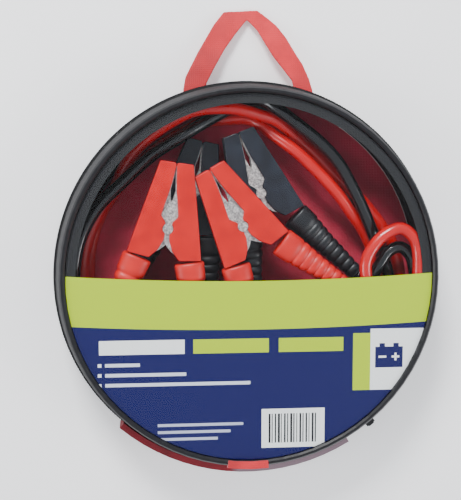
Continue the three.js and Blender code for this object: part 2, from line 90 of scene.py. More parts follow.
BLACK_ROUTE = [
    (-92.58, -21.03, 9.3), (-95.4, -26.3, 9.3), (-98.2, -34.5, 8.7), (-97.2, -41.5, 7.8),
    (-92.8, -49.5, 6.8),
    *bend(105.5, 214, 318, 6.2, 6.2, 9),
    (94.5, -49, 6.2), (103, -28, 6.2), (104.5, -10, 6.2),
    (101.4, 5.9, 6.2), (95.7, 18.2, 6.2), (89.3, 33.3, 6.2), (82.2, 49, 6.2), (73.7, 64.8, 6.2),
    (63.2, 81.0, 6.2), (50.6, 94.2, 6.2), (34.8, 106.8, 6.2), (19.1, 117.4, 6.2),
    *bend(124, 91, 179, 6.2, 6.2, 7),
    *bend(124.3, 190, 250, 6.2, 12, 5),
    *bend(124.3, 262, 328, 15.5, 24.8, 5),
    (110, -48, 24.8), (108.0, -30, 24.8), (105, -12, 24.8),
    (101.4, 5.9, 24.8), (95.7, 18.2, 25.2), (89.3, 33.3, 27.3), (82.2, 49, 29), (73.7, 64.8, 31),
    (63.2, 81.6, 32.5), (50.6, 94.8, 33.5), (34.8, 107.3, 33.5), (19.1, 118.9, 32),
    (9, 124.8, 27.8), (-3, 123.6, 22.3), (-15, 118.0, 20.5), (-31, 109.2, 22), (-47, 99.6, 24.8),
    (-68, 86, 24.8), (-89, 67, 24.8), (-107, 49, 24.8), (-119, 27, 24.8), (-123.7, 0, 24.8),
    *bend(124.3, 192, 300, 26.5, 34.3, 8),
    *bend(124.3, 315, 345, 34.3, 34.3, 3),
    (120.8, -12, 34.1),
    (119.8, 3, 34.1), (116.5, 14.5, 34.1), (109, 20.5, 34.1), (100.5, 17.5, 34.6), (94, 8, 34.6),
    (86.5, -4, 34.1),
    (76, -17, 33.4), (60, -30, 29.5), (40, -38.5, 22), (20, -42.5, 17), (0, -45, 15.5),
    (-20, -46, 15.5),
    *[turn(-37.7, -66, 20, t, 15.5) for t in (95, 135, 175, 215)],
    *bend(96, 244, 298, 15.3, 6.6, 4),
    *[turn(37.7, -66, 20, t, 6.2) for t in (325, 0, 45, 85)],
    (10, -46, 6.2), (-15, -46, 6.2),
    *[turn(-37.7, -66, 20, t, 6.2) for t in (95, 135, 175)],
    (-50, -77.5, 6.2), (-34, -81.5, 6.2), (-16, -85, 6.2), (2, -86.5, 7.5), (20, -84.5, 11.5),
    (37, -79.5, 15.3),
    (56, -73, 16.3), (74, -61, 18), (87, -42, 20.5), (92.5, -24, 23.5), (90, -12, 24.8),
    (83.6, -3.3, 24.8), (79.25, 0.81, 24.8),
]

RED_ROUTE = [
    (-35.5, -50.59, 40.3), (-34.8, -56.5, 40.3), (-32.8, -66, 36.6), (-30, -74, 32), (-23, -84.5, 28),
    (-8, -96, 25.0), (14, -104.3, 24.0),
    *bend(105.3, 288, 325, 23, 16.5, 4),
    (95.5, -44, 15.5), (99.5, -20, 15.5),
    (95.6, 6.5, 15.5), (91.5, 20, 15.8), (84.9, 32.5, 18.0), (78, 41.5, 21), (65.8, 57.4, 25),
    (50.0, 73.9, 27.2), (34.2, 88.6, 27.0), (19.1, 99.9, 22.0), (3.3, 111.4, 15.2),
    (-14, 111.9, 11.6), (-31, 109.8, 9.2), (-48, 101.6, 7), (-69, 87.5, 6.2), (-90, 66, 6.2),
    (-104, 46, 6.2), (-112, 24, 6.2), (-114.5, 0, 6.2),
    *bend(115, 190, 300, 6.2, 6.2, 9),
    *bend(115, 312, 340, 8.5, 13.5, 3),
    (113.5, -18, 15.3),
    (113, 5, 15.5), (107.5, 23, 15.5), (98, 37.3, 15.5), (87.1, 50.8, 15.5), (75.5, 62, 16),
    (63, 73.2, 17.5), (50.8, 85.4, 18.3), (35, 99.2, 19.2), (19.8, 111.0, 23.5),
    (8.2, 114.2, 27),
    (-12, 118.7, 32), (-38, 117.3, 28.5), (-52, 111.2, 25.5), (-66, 102, 21), (-80, 89.4, 17),
    (-88.5, 77, 15.5), (-94, 64.6, 15.5), (-101, 53.2, 15.5), (-110, 36.6, 15.5),
    (-115.3, 22, 15.5), (-118, 0, 15.5),
    *bend(116, 190, 215, 18, 24.8, 3, 115),
    *bend(115, 228, 300, 24.8, 26, 6),
    *bend(115, 310, 335, 29.5, 38.5, 3),
    (113.5, -30, 43),
    (119.3, -4, 43.5), (119.5, 17.8, 43.5), (116, 28, 43.4), (107, 34.6, 43.4),
    (97.6, 31.6, 43.4), (88.9, 24.1, 43.4), (82, 11, 43.4), (82.5, -6, 43.4),
    (79, -27, 43.4), (65, -50, 43.4), (46, -65, 43.4), (25, -72, 43.4), (0, -73, 43.4),
    (-30, -73, 43.4),
    *[turn(-53.3, -91, 18, t, 43.4) for t in (95, 138, 180)],
    *bend(121, 245, 288, 43.4, 43.4, 4),
    (54, -103, 43.3), (69, -90, 42.3), (78, -74, 40.0), (73.5, -58.5, 36.3), (60, -51.5, 32),
    (40, -51, 27.5), (15, -51.5, 25.2), (-20, -51.5, 25), (-58, -51.8, 25.3),
    (-74, -58, 27), (-78.3, -70, 30.8), (-71, -82, 33.5),
    (-50, -93, 34.2), (-22, -102.5, 34.3), (7, -103.8, 34.3), (20, -97.5, 34.2), (25, -83, 34.2),
    (13.5, -69.5, 36.8), (6.8, -57.2, 40.3), (5.28, -51.37, 40.3),
]


def catmull(points, per_span):
    """A centripetal Catmull-Rom line through the points, as the CAD draws it."""
    pts = [Vector(p) for p in points]
    ends = [2 * pts[0] - pts[1]] + pts + [2 * pts[-1] - pts[-2]]
    line = []
    for i in range(1, len(ends) - 2):
        p0, p1, p2, p3 = ends[i - 1 : i + 3]
        d0 = max((p1 - p0).length ** 0.5, 1e-6)
        d1 = max((p2 - p1).length ** 0.5, 1e-6)
        d2 = max((p3 - p2).length ** 0.5, 1e-6)
        m1 = ((p1 - p0) / d0 - (p2 - p0) / (d0 + d1) + (p2 - p1) / d1) * d1
        m2 = ((p2 - p1) / d1 - (p3 - p1) / (d1 + d2) + (p3 - p2) / d2) * d1
        for k in range(per_span):
            t = k / per_span
            a = 2 * t**3 - 3 * t**2 + 1
            b = t**3 - 2 * t**2 + t
            c = -2 * t**3 + 3 * t**2
            d = t**3 - t**2
            line.append(a * p1 + b * m1 + c * p2 + d * m2)
    line.append(pts[-1])
    return line


# Colour and materials
def linear(hex_code):
    """An sRGB hex colour as linear RGBA."""
    out = []
    for i in (0, 2, 4):
        v = int(hex_code[i : i + 2], 16) / 255
        out.append(v / 12.92 if v <= 0.04045 else ((v + 0.055) / 1.055) ** 2.4)
    return (*out, 1.0)


def node(tree, kind, links=None, **settings):
    """Adds a node with its settings and its input values or links."""
    made = tree.nodes.new(kind)
    for key, value in settings.items():
        setattr(made, key, value)
    for key, value in (links or {}).items():
        if isinstance(value, bpy.types.NodeSocket):
            tree.links.new(value, made.inputs[key])
        else:
            made.inputs[key].default_value = value
    return made


RELIEF_DEPTH = 0.0002
RAMP_ENDS = (0.35, 0.65)


def material(name, dark, light, scale=200.0, bump=0.15, rough=(0.4, 0.55), **shader):
    """A two-tone surface whose colour, roughness and relief follow one noise, at real size."""
    mat = bpy.data.materials.new(name)
    mat.use_nodes = True
    tree = mat.node_tree
    bsdf = tree.nodes["Principled BSDF"]
    place = node(tree, "ShaderNodeTexCoord")
    noise = node(
        tree,
        "ShaderNodeTexNoise",
        {"Vector": place.outputs["Object"], "Scale": scale, "Detail": 6.0},
    )
    ramp = node(tree, "ShaderNodeValToRGB", {"Fac": noise.outputs["Fac"]})
    for stop, position, code in zip(ramp.color_ramp.elements, RAMP_ENDS, (dark, light)):
        stop.position = position
        stop.color = linear(code)
    tree.links.new(ramp.outputs["Color"], bsdf.inputs["Base Color"])
    span = node(
        tree,
        "ShaderNodeMapRange",
        {"Value": noise.outputs["Fac"], "To Min": rough[0], "To Max": rough[1]},
    )
    tree.links.new(span.outputs["Result"], bsdf.inputs["Roughness"])
    relief = node(
        tree,
        "ShaderNodeBump",
        {"Strength": bump, "Distance": RELIEF_DEPTH, "Height": noise.outputs["Fac"]},
    )
    tree.links.new(relief.outputs["Normal"], bsdf.inputs["Normal"])
    for key, value in shader.items():
        bsdf.inputs[key.replace("_", " ")].default_value = value
    return mat


def weave(name, dark, light, pitch=0.0009, **shader):
    """Woven cloth: two crossed waves at the yarn's pitch, over a slow change of tone."""
    mat = material(name, dark, light, scale=60.0, bump=0.0, rough=(0.6, 0.8), **shader)
    tree = mat.node_tree
    bsdf = tree.nodes["Principled BSDF"]
    place = node(tree, "ShaderNodeTexCoord")
    waves = []
    for axis in ("X", "Y"):
        wave = node(
            tree,
            "ShaderNodeTexWave",
            {"Vector": place.outputs["Object"], "Scale": 0.314 / pitch, "Distortion": 0.6, "Detail": 1.0},
            bands_direction=axis,
        )
        waves.append(wave.outputs["Fac"])
    high = node(tree, "ShaderNodeMath", {0: waves[0], 1: waves[1]}, operation="MAXIMUM")
    relief = node(
        tree,
        "ShaderNodeBump",
        {"Strength": 0.5, "Distance": pitch / 4, "Height": high.outputs[0]},
    )
    tree.links.new(relief.outputs["Normal"], bsdf.inputs["Normal"])
    return mat


def hinge_material():
    """The hinge cloth is dark red towards the left and turns greyish mauve towards the right, a painted shadow under
    the case's edge.
    """
    mat = weave("hinge_cloth", "6A0A18", "8A1424", 0.0012)
    tree = mat.node_tree
    bsdf = tree.nodes["Principled BSDF"]
    red = bsdf.inputs["Base Color"].links[0].from_socket
    place = node(tree, "ShaderNodeTexCoord")
    parts = node(tree, "ShaderNodeSeparateXYZ", {0: place.outputs["Object"]})
    share = node(
        tree,
        "ShaderNodeMapRange",
        {"Value": parts.outputs["X"], "From Min": -0.014, "From Max": -0.008},
    )
    # painted shadow: the cloth blends to greyish mauve between x = -14 mm and x = -8 mm and stays so to the right
    mix = node(
        tree,
        "ShaderNodeMix",
        {0: share.outputs[0], 6: red, 7: linear("8C7680")},
        data_type="RGBA",
    )
    tree.links.new(mix.outputs[2], bsdf.inputs["Base Color"])
    return mat


def webbing_material():
    """Satin webbing, with painted shade darkening it towards the left, where its underside turns up, and its plain
    colour on the lit right leg.
    """
    mat = weave("red_webbing", "B80A1A", "D21826", 0.0014, Sheen_Weight=0.3, Specular_IOR_Level=0.5)
    tree = mat.node_tree
    bsdf = tree.nodes["Principled BSDF"]
    base = bsdf.inputs["Base Color"].links[0].from_socket
    place = node(tree, "ShaderNodeTexCoord")
    parts = node(tree, "ShaderNodeSeparateXYZ", {0: place.outputs["Object"]})
    share = node(
        tree,
        "ShaderNodeMapRange",
        {"Value": parts.outputs["X"], "From Min": -0.03, "From Max": 0.004},
    )
    # painted shade: the base colour is darkest left of x = -30 mm and fades to none at x = 4 mm
    painted_shade = node(
        tree,
        "ShaderNodeMix",
        {0: share.outputs[0], 6: (0.72, 0.66, 0.66, 1), 7: (1, 1, 1, 1)},
        data_type="RGBA",
    )
    shaded_webbing = node(
        tree,
        "ShaderNodeMix",
        {0: 1.0, 6: base, 7: painted_shade.outputs[2]},
        data_type="RGBA",
        blend_type="MULTIPLY",
    )
    tree.links.new(shaded_webbing.outputs[2], bsdf.inputs["Base Color"])
    return mat


def card_material():
    """Printed card: a lime band above a navy field with plain bars, dots and a panel of bars."""
    mat = bpy.data.materials.new("printed_card")
    mat.use_nodes = True
    tree = mat.node_tree
    bsdf = tree.nodes["Principled BSDF"]
    place = node(tree, "ShaderNodeTexCoord")
    parts = node(tree, "ShaderNodeSeparateXYZ", {0: place.outputs["Object"]})
    x, y = parts.outputs["X"], parts.outputs["Y"]
    grain = node(
        tree,
        "ShaderNodeTexNoise",
        {"Vector": place.outputs["Object"], "Scale": 700.0, "Detail": 4.0},
    )

    def math_node(operation, a, b):
        return node(tree, "ShaderNodeMath", {0: a, 1: b}, operation=operation).outputs[0]

    def inside(x0, x1, y0, y1):
        across, along = (
            math_node(
                "MULTIPLY",
                math_node("GREATER_THAN", value, low * MM),
                math_node("LESS_THAN", value, high * MM),
            )
            for value, low, high in ((x, x0, x1), (y, y0, y1))
        )
        return math_node("MULTIPLY", across, along)

    def paint(under, code, mask):
        mix = node(tree, "ShaderNodeMix", {0: mask, 6: under, 7: linear(code)}, data_type="RGBA")
        return mix.outputs[2]

    # The band's lower edge bows a little, as the card's top does.
    bow = math_node("MULTIPLY", math_node("MULTIPLY", x, x), 0.25)
    edge = math_node("ADD", bow, -35.2 * MM)
    colour = paint(linear(NAVY), LIME, math_node("GREATER_THAN", y, edge))
    for x0, x1, code in TITLE_BARS:
        colour = paint(colour, code, inside(x0, x1, -51.5, -41.5))
    for x1, y0 in TEXT_LINES:
        colour = paint(colour, "F1F2F4", inside(-107, -104.5, y0, y0 + 2.4))
        colour = paint(colour, "D9DBE6", inside(-102, x1, y0, y0 + 2.4))
    for i in range(3):
        colour = paint(colour, "B9BCD2", inside(-66, -6 - 9 * i, -103 - 5 * i, -101 - 5 * i))
    colour = paint(colour, WHITE, inside(7, 52, -120, -92))
    for i, width in enumerate(CODE_BARS):
        left = 12 + i * 2.2
        colour = paint(colour, "16161A", inside(left, left + width, -116.5, -95.5))
    colour = paint(colour, LIME, inside(72, 84.5, -80, -39))
    colour = paint(colour, WHITE, inside(84.5, 130, -80, -36))
    for x0, x1, y0, y1 in BATTERY_SHAPE:
        colour = paint(colour, NAVY, inside(x0, x1, y0, y1))
    for x0, x1, y0, y1 in BATTERY_SIGNS:
        colour = paint(colour, WHITE, inside(x0, x1, y0, y1))
    tone = node(tree, "ShaderNodeMapRange", {"Value": grain.outputs["Fac"], "To Min": 0.94, "To Max": 1.05})
    last = node(tree, "ShaderNodeVectorMath", {0: colour, 3: tone.outputs["Result"]}, operation="SCALE")
    tree.links.new(last.outputs[0], bsdf.inputs["Base Color"])
    rough = node(tree, "ShaderNodeMapRange", {"Value": grain.outputs["Fac"], "To Min": 0.35, "To Max": 0.5})
    tree.links.new(rough.outputs[0], bsdf.inputs["Roughness"])
    bsdf.inputs["Specular IOR Level"].default_value = 0.25
    return mat


# The card's colours and shapes, in millimetres
NAVY, LIME, WHITE = "101250", "B2CC0A", "F4F4F2"
TITLE_BARS = ((-106, -47, WHITE), (-41, 12, LIME), (19, 65, LIME))
TEXT_LINES = ((-78, -60), (-46, -67), (-1, -74))
CODE_BARS = (1.4, 0.7, 1.0, 1.5, 0.6, 1.2, 0.8, 1.5, 0.9, 0.6, 1.3, 0.8, 1.1, 0.6, 1.4, 0.9)
BATTERY_SHAPE = ((88, 108, -64, -49), (91, 95, -49, -46.5), (101, 105, -49, -46.5))
BATTERY_SIGNS = ((90.5, 96, -57, -55.5), (100, 105.5, -57, -55.5), (102, 103.5, -59, -53.5))


def window_material():
    """Clear flexible sheet: mostly see-through, with soft broad waves that break up its reflections."""
    mat = bpy.data.materials.new("clear_sheet")
    mat.use_nodes = True
    tree = mat.node_tree
    out = tree.nodes["Material Output"]
    tree.nodes.remove(tree.nodes["Principled BSDF"])
    place = node(tree, "ShaderNodeTexCoord")
    noise = node(tree, "ShaderNodeTexNoise", {"Vector": place.outputs["Object"], "Scale": 14.0, "Detail": 2.0})
    relief = node(tree, "ShaderNodeBump", {"Strength": 0.25, "Distance": 0.004, "Height": noise.outputs["Fac"]})
    clear = node(tree, "ShaderNodeBsdfTransparent", {"Color": (0.97, 0.98, 0.985, 1)})
    gloss = node(tree, "ShaderNodeBsdfGlossy", {"Roughness": 0.16, "Normal": relief.outputs["Normal"]})
    mix = node(tree, "ShaderNodeMixShader", {0: 0.012, 1: clear.outputs[0], 2: gloss.outputs[0]})
    tree.links.new(mix.outputs[0], out.inputs["Surface"])
    return mat


# Each slot's material, with what it gives the eye
def make_materials():
    return {
        # deep crimson cloth behind the coil
        "crimson_fabric": weave("crimson_cloth", "AC1634", "CC2446", 0.0012),
        # black cloth sides, almost without shine
        "black_fabric": weave("black_cloth", "060608", "0E0E12", 0.0011),
        # moulded zip parts
        "zip_plastic": material("zip_nylon", "070709", "101014", 300, rough=(0.3, 0.45)),
        # sewing thread, a little lighter than the cloth
        "thread": material("sewing_thread", "26262C", "34343C", 400, rough=(0.6, 0.75)),
        # smooth round piping with a grey line of light
        "piping": material("piping_vinyl", "0A0A0D", "141418", 250, rough=(0.28, 0.4), bump=0.08),
        "clear_window": window_material(),
        "card": card_material(),
        # satin webbing with a pale sheen and painted shade on its left
        "red_webbing": webbing_material(),
        # woven strip under the case's edge, dark red running into a grey painted shadow
        "hinge_fabric": hinge_material(),
        # smooth moulded covers, slightly mottled
        "red_cover": material(
            "red_cover_plastic", "BC0603", "D00E08", 120, bump=0.05, rough=(0.34, 0.46), Specular_IOR_Level=0.35
        ),
        "black_cover": material(
            "grey_cover_plastic", "14161E", "20242E", 120, bump=0.05, rough=(0.3, 0.42), Specular_IOR_Level=0.4
        ),
        # softer, brighter grips
        "red_grip": material("red_grip_vinyl", "C00A04", "D4140A", 160, rough=(0.38, 0.5)),
        "black_grip": material("black_grip_vinyl", "08090C", "101218", 160, rough=(0.35, 0.5)),
        # speckled plated steel
        "steel": material(
            "plated_steel", "9A9290", "F0E8E2", 700, bump=0.5, rough=(0.34, 0.5), Metallic=0.85
        ),
        # glossy cable jackets
        "red_cable": material(
            "red_jacket", "BE0206", "CE080A", 90, bump=0.02, rough=(0.2, 0.28), Coat_Weight=0.35, Coat_Roughness=0.08
        ),
        "black_cable": material(
            "black_jacket", "060709", "0B0C0F", 90, bump=0.02, rough=(0.2, 0.27), Coat_Weight=0.4
        ),
    }


STATE = {}


def mesh_object(name, verts, faces, mat):
    mesh = bpy.data.meshes.new(name)
    mesh.from_pydata(verts, [], faces)
    mesh.validate()
    mesh.update()
    for poly in mesh.polygons:
        poly.use_smooth = True
    mesh.materials.append(mat)
    obj = bpy.data.objects.new(name, mesh)
    bpy.context.scene.collection.objects.link(obj)
    return obj


def tube(name, line, radius, sides, mat):
    """A closed tube along a line, with a frame carried from ring to ring."""
    verts, faces = [], []
    tangent = (line[1] - line[0]).normalized()
    side = tangent.cross(Vector((0, 0, 1)))
    if side.length < 1e-3:
        side = tangent.cross(Vector((1, 0, 0)))
    side.normalize()
    for i, p in enumerate(line):
        ahead = line[min(i + 1, len(line) - 1)] - line[max(i - 1, 0)]
        tangent = ahead.normalized()
        side = (side - tangent * side.dot(tangent)).normalized()
        up = tangent.cross(side)
        for k in range(sides):
            t = 2 * math.pi * k / sides
            verts.append(p + side * (radius * math.cos(t)) + up * (radius * math.sin(t)))
    rings = len(line)
    for i in range(rings - 1):
        for k in range(sides):
            a, b = i * sides + k, i * sides + (k + 1) % sides
            faces.append((a, b, b + sides, a + sides))
    faces.append(tuple(reversed(range(sides))))
    faces.append(tuple((rings - 1) * sides + k for k in range(sides)))
    return mesh_object(name, verts, faces, mat)


def spaced(line, step):
    """The line again with points an even step apart."""
    out = [line[0].copy()]
    rest = step
    for a, b in zip(line, line[1:]):
        span = (b - a).length
        while span >= rest and span > 0:
            a = a + (b - a) * (rest / span)
            span -= rest
            out.append(a.copy())
            rest = step
        rest -= span
    if (out[-1] - line[-1]).length < step / 2:
        out.pop()
    out.append(line[-1].copy())
    return out


# Points along each cable: steps in each span of the route, then metres between rings
SPAN_STEPS = 14
RING_STEP = 0.003
CABLE_SIDES = 20


class CableSettings(bpy.types.PropertyGroup):
    """Sizes of the two cables."""

    radius: bpy.props.FloatProperty(name="Radius", description="Outside radius", default=0.0044, unit="LENGTH")
    length: bpy.props.FloatProperty(name="Length", description="Real cable length", default=2.74, unit="LENGTH")


class CaseSettings(bpy.types.PropertyGroup):
    """Sizes of the case's fine parts."""

    teeth: bpy.props.IntProperty(name="Zip teeth", description="Teeth round the open part", default=320)
    stitches: bpy.props.IntProperty(name="Stitches", description="Stitches in the border", default=230)
    ribs: bpy.props.IntProperty(name="Grip ribs", description="Rings on each grip", default=8)


class JUMPER_OT_cables(bpy.types.Operator):
    """Builds the two cables along their routes."""

    bl_idname = "jumper.cables"
    bl_label = "Cables"

    def execute(self, context):
        made = context.scene.jumper_cables
        for name, route in (("black", BLACK_ROUTE), ("red", RED_ROUTE)):
            line = spaced(catmull([Vector(p) * MM for p in route], SPAN_STEPS), RING_STEP)
            obj = tube(f"cord_{name}", line, made.radius, CABLE_SIDES, STATE["mats"][f"{name}_cable"])
            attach(obj, "root")
            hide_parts(f"cable_{name}")
        return {"FINISHED"}


class JUMPER_OT_surfaces(bpy.types.Operator):
    """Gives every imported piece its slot's material."""

    bl_idname = "jumper.surfaces"
    bl_label = "Surfaces"

    def execute(self, context):
        slots = {s["node"]: s["material_slot"] for s in STATE["frame"]["record"]["subparts"]}
        for name, obj in STATE["frame"]["nodes"].items():
            obj.data.materials.clear()
            obj.data.materials.append(STATE["mats"][slots[name]])
        return {"FINISHED"}


# Each clamp: pivot in mm, turn in degrees, side of the fixed arm, and the angles of its left and right grips
CLAMPS = {
    "a": ((-58, 35.4, 40.3), -8.35, 1, (16, 15.5)),
    "b": ((-6, 36.8, 40.3), 30.3, -1, (15.5, 24.7)),
    "c": ((-41.2, 51.5, 9.3), -12.3, -1, (15.5, 12.3)),
    "d": ((8.6, 59.2, 24.8), 20.8, 1, (15.5, 25.9)),
}
GRIP_LENGTH = 62.0
GRIP_SIDES = 40
GROOVE_DEPTH = 0.95


WELD_GAP = 0.00001
COVER_ROUND = (0.0007, 35)
WEBBING_ROUND = (0.0006, 50)


def rounded_copy(name, node_name, width, angle):
    """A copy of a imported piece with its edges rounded, and the modifier that rounds them."""
    source = STATE["frame"]["nodes"][node_name]
    obj = bpy.data.objects.new(name, source.data.copy())
    bpy.context.scene.collection.objects.link(obj)
    weld = obj.modifiers.new("weld", "WELD")
    weld.merge_threshold = WELD_GAP
    bevel = obj.modifiers.new("bevel", "BEVEL")
    bevel.width = width
    bevel.segments = 3
    bevel.limit_method = "ANGLE"
    bevel.angle_limit = math.radians(angle)
    return obj, bevel


class JUMPER_OT_covers(bpy.types.Operator):
    """Rounds the edges of every clamp cover, so that they catch the light as moulded plastic does."""

    bl_idname = "jumper.covers"
    bl_label = "Clamp covers"

    def execute(self, context):
        for key in CLAMPS:
            colour = "red_cover" if key in "ab" else "black_cover"
            for share in ("fixed", "moving"):
                name = f"clamp_{key}_{share}_cover"
                obj, bevel = rounded_copy(f"moulded_{name}", name, *COVER_ROUND)
                bevel.use_clamp_overlap = False
                bevel.harden_normals = True
                bake(obj, STATE["mats"][colour])
                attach(obj, "root" if share == "fixed" else f"clamp_{key}_arm")
                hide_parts(name)
        return {"FINISHED"}


class JUMPER_OT_grips(bpy.types.Operator):
    """Builds each grip with a smooth collar and rings that narrow to the cable."""

    bl_idname = "jumper.grips"
    bl_label = "Grips"

    def execute(self, context):
        count = context.scene.jumper_case.ribs
        for key, (at, angle, fixed, grips) in CLAMPS.items():
            colour = "red_grip" if key in "ab" else "black_grip"
            for share in ("fixed", "moving"):
                side = fixed if share == "fixed" else -fixed
                lean = grips[0] if side == -1 else grips[1]
                mat = STATE["mats"][colour]
                obj = ribbed_grip(f"ribbed_{key}_{share}", at, angle, side, lean, count, mat)
                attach(obj, "root" if share == "fixed" else f"clamp_{key}_arm")
                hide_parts(f"clamp_{key}_{share}_grip")
        return {"FINISHED"}


def grip_size(along):
    """Half width and half thickness of a grip, in mm, without its rings."""
    stations = ((0, 10.5, 7.5), (13, 10.1, 7.5), (27, 8.3, 7.0), (GRIP_LENGTH, 5.8, 5.8))
    for (s0, w0, d0), (s1, w1, d1) in zip(stations, stations[1:]):
        if along <= s1:
            u = (along - s0) / (s1 - s0)
            return w0 + (w1 - w0) * u, d0 + (d1 - d0) * u
    return stations[-1][1:]


def ribbed_grip(name, at, angle, side, lean, count, mat):
    """One grip as a closed loft, with grooves cut between its rings."""
    seam = math.atan2(2, 15.4)
    start = -20.3 - abs(math.sin(math.radians(lean) - seam)) * 10.5
    turn_by, lean_by = math.radians(angle), side * math.radians(lean)
    first, pitch = 14.5, (GRIP_LENGTH - 15.5) / count
    lengths = [0.0, 0.25, 0.7, 1.4, 4.0, 9.0, 12.6, 13.4, 13.9]
    for i in range(count):
        base = first + i * pitch
        lengths += [base + pitch * u for u in (0.0, 0.06, 0.16, 0.5, 0.84, 0.94)]
    lengths += [GRIP_LENGTH - 0.8, GRIP_LENGTH - 0.2, GRIP_LENGTH]
    verts, faces = [], []
    for along in lengths:
        width, depth = grip_size(along)
        if along < 1.5:
            width, depth = (v - 1.1 * (1 - (along / 1.5)) ** 2 for v in (width, depth))
        elif along > GRIP_LENGTH - 1:
            width, depth = (v - 0.5 * ((along - GRIP_LENGTH + 1) ** 2) for v in (width, depth))
        elif along > 13:
            u = ((along - first) / pitch) % 1.0
            share = 1.0 if along < first else min(1.0, max(0.0, (abs(u - 0.5) - 0.3) / 0.2)) ** 0.6
            groove = GROOVE_DEPTH * share
            width, depth = width - groove, depth - groove
        for k in range(GRIP_SIDES):
            t = 2 * math.pi * k / GRIP_SIDES
            c, d = math.cos(t), math.sin(t)
            x = width * math.copysign(abs(c) ** 0.8, c)
            z = depth * math.copysign(abs(d) ** 0.8, d)
            x, y = (
                x * math.cos(lean_by) + along * math.sin(lean_by),
                x * math.sin(lean_by) - along * math.cos(lean_by),
            )
            x, y = x + side * 18.1, y + start
            verts.append(
                (
                    (x * math.cos(turn_by) - y * math.sin(turn_by) + at[0]) * MM,
                    (x * math.sin(turn_by) + y * math.cos(turn_by) + at[1]) * MM,
                    (z + at[2]) * MM,
                )
            )
    for i in range(len(lengths) - 1):
        for k in range(GRIP_SIDES):
            a, b = i * GRIP_SIDES + k, i * GRIP_SIDES + (k + 1) % GRIP_SIDES
            faces.append((a, b, b + GRIP_SIDES, a + GRIP_SIDES))
    last = (len(lengths) - 1) * GRIP_SIDES
    faces.append(tuple(reversed(range(GRIP_SIDES))))
    faces.append(tuple(last + k for k in range(GRIP_SIDES)))
    return mesh_object(name, verts, faces, mat)


def bake(obj, mat):
    """Turns an object's modifiers into its mesh and gives it one material."""
    graph = bpy.context.evaluated_depsgraph_get()
    made = bpy.data.meshes.new_from_object(obj.evaluated_get(graph), depsgraph=graph)
    obj.modifiers.clear()
    obj.data = made
    made.materials.clear()
    made.materials.append(mat)
    return obj


def ring_nodes(name, radius, start, sweep, height, size):
    """A node group that sets small boxes along an arc, facing outwards, and makes them one mesh."""
    tree = bpy.data.node_groups.new(name, "GeometryNodeTree")
    tree.interface.new_socket("Count", in_out="INPUT", socket_type="NodeSocketInt")
    tree.interface.new_socket("Material", in_out="INPUT", socket_type="NodeSocketMaterial")
    tree.interface.new_socket("Geometry", in_out="OUTPUT", socket_type="NodeSocketGeometry")
    given = node(tree, "NodeGroupInput")
    arc = node(
        tree,
        "GeometryNodeCurveArc",
        {"Resolution": 512, "Radius": radius, "Start Angle": start, "Sweep Angle": sweep},
        mode="RADIUS",
    )
    points = node(tree, "GeometryNodeCurveToPoints", {"Curve": arc.outputs[0], "Count": given.outputs[0]}, mode="COUNT")
    place = node(tree, "GeometryNodeInputPosition")
    apart = node(tree, "ShaderNodeSeparateXYZ", {0: place.outputs[0]})
    heading = node(tree, "ShaderNodeMath", {0: apart.outputs[1], 1: apart.outputs[0]}, operation="ARCTAN2")
    turned = node(tree, "ShaderNodeCombineXYZ", {2: heading.outputs[0]})
    tooth = node(tree, "GeometryNodeMeshCube", {0: size})
    copies = node(
        tree,
        "GeometryNodeInstanceOnPoints",
        {"Points": points.outputs[0], "Instance": tooth.outputs[0], "Rotation": turned.outputs[0]},
    )
    raised = node(tree, "GeometryNodeSetPosition", {"Geometry": copies.outputs[0], "Offset": (0, 0, height)})
    real = node(tree, "GeometryNodeRealizeInstances", {0: raised.outputs[0]})
    painted = node(tree, "GeometryNodeSetMaterial", {"Geometry": real.outputs[0], "Material": given.outputs[1]})
    node(tree, "NodeGroupOutput", {0: painted.outputs[0]})
    return tree


def ring_object(name, tree, count, mat):
    obj = mesh_object(name, [(0, 0, 0)], [], mat)
    made = obj.modifiers.new("ring", "NODES")
    made.node_group = tree
    for item in tree.interface.items_tree:
        if item.name == "Count":
            made[item.identifier] = count
        elif item.name == "Material":
            made[item.identifier] = mat
    return bake(obj, mat)


class JUMPER_OT_handle(bpy.types.Operator):
    """Softens the webbing's edges and lets it ripple a little along its length."""

    bl_idname = "jumper.handle"
    bl_label = "Handle"

    def execute(self, context):
        obj, _ = rounded_copy("webbing_loop", "handle_strap", *WEBBING_ROUND)
        remesh = obj.modifiers.new("remesh", "REMESH")
        remesh.mode = "VOXEL"
        remesh.voxel_size = 0.0007
        remesh.use_smooth_shade = True
        bake(obj, STATE["mats"]["red_webbing"])
        for v in obj.data.vertices:
            ripple = math.sin(v.co.y * 190 + v.co.x * 60) + 0.5 * math.sin(v.co.x * 330)
            v.co.z += 0.00045 * ripple * min(1.0, max(0.0, (v.co.y - 0.136) / 0.01))
            v.co.z = max(v.co.z, 0.0001)
        obj.data.update()
        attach(obj, "root")
        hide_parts("handle_strap")
        return {"FINISHED"}


# The zip's open part in degrees, its circle and its teeth in metres
ZIP_START, ZIP_SWEEP = 302, 286
ZIP_RADIUS = 0.13765
TOOTH_SIZE = (0.0013, 0.0013, 0.0012)


class JUMPER_OT_zip(bpy.types.Operator):
    """Sets the zip's teeth round the open part of the case, in two rows that mesh."""

    bl_idname = "jumper.zip"
    bl_label = "Zip teeth"

    def execute(self, context):
        count = context.scene.jumper_case.teeth
        sweep = math.radians(ZIP_SWEEP)
        shift = math.radians(ZIP_SWEEP / count / 2)
        for body, offset, height in (("root", 0.0, 0.0252), ("lid", shift, 0.0268)):
            start = math.radians(ZIP_START) + offset
            tree = ring_nodes(f"teeth_{body}", ZIP_RADIUS, start, sweep, height, TOOTH_SIZE)
            obj = ring_object(f"teeth_{body}", tree, count, STATE["mats"]["zip_plastic"])
            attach(obj, body)
        return {"FINISHED"}


STITCH_SWEEP = 358.4
STITCH_RADIUS, STITCH_HEIGHT = 0.1265, 0.04835
STITCH_SIZE = (0.0004, 0.0021, 0.0003)


